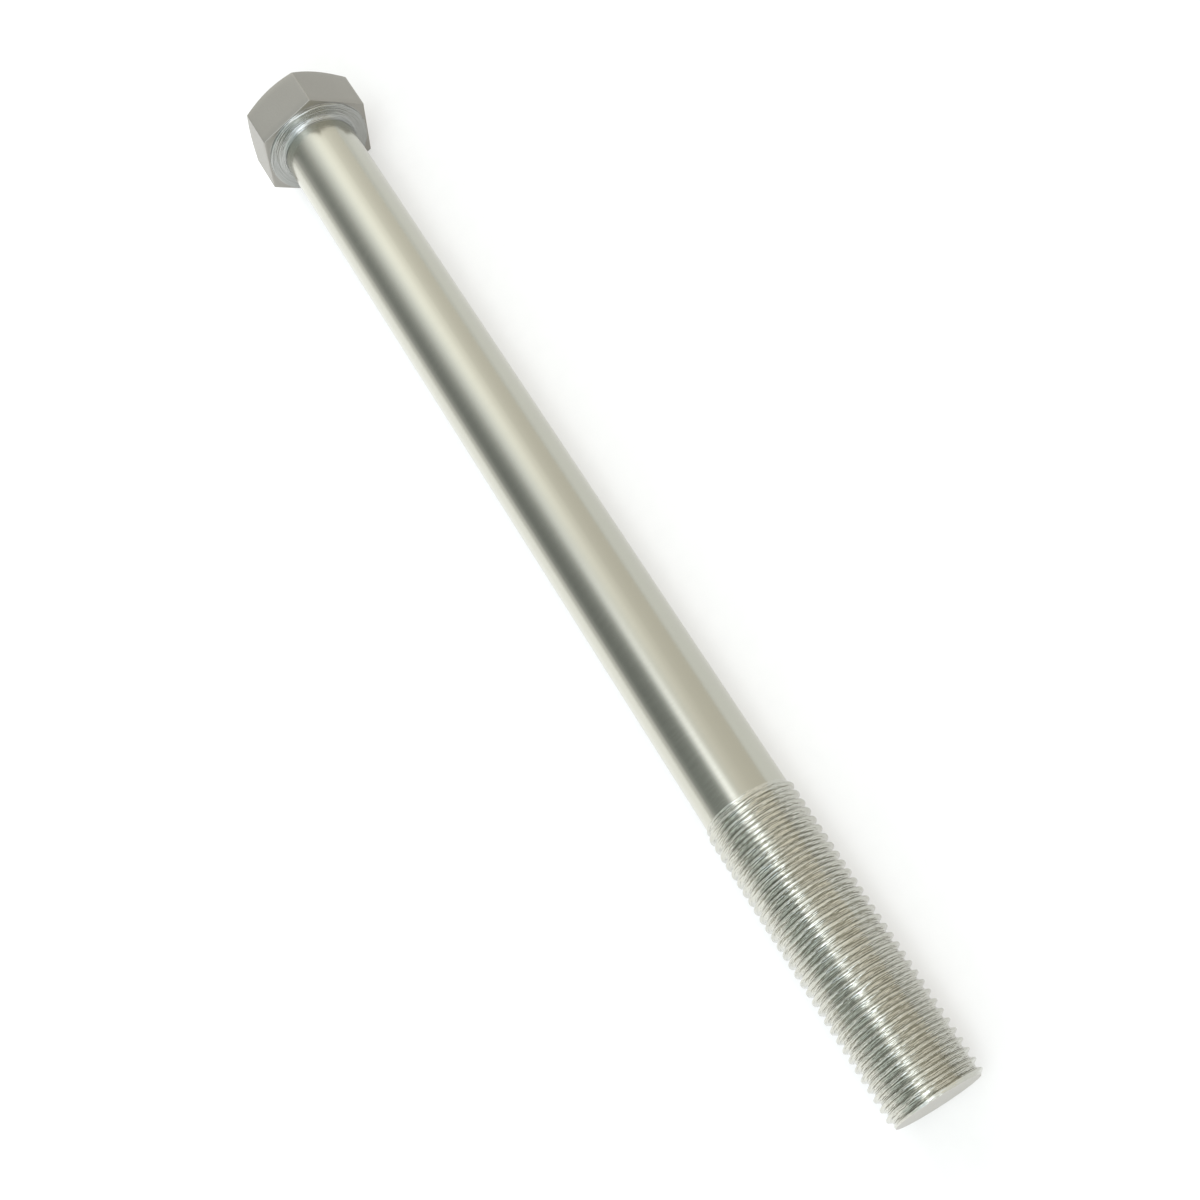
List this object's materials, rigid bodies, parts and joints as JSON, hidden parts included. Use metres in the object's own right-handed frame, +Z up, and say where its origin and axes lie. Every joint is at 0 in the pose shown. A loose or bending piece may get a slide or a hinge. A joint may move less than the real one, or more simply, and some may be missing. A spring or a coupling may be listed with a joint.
{
  "type": "hex cap screw",
  "caption": "Long hexagon-head cap screw with a washer face, a reduced plain shank and a fine right-hand thread at the point.",
  "frame": {"origin": "on the floor under the middle of the screw's box, as it lies at rest", "axes": "+X along the screw from the head towards the point, +Z up out of the top flat of the head; the screw's axis dips 0.7 degrees below +X, because at rest the point's thread touches the floor"},
  "size_m": [0.1366, 0.015, 0.0131],
  "materials": {
    "stainless_steel": "bright smooth stainless steel with a soft satin gloss, cold forged head and rolled thread"
  },
  "bodies": {
    "root": {"hex_cap_screw": "stainless_steel"}
  },
  "joints": []
}
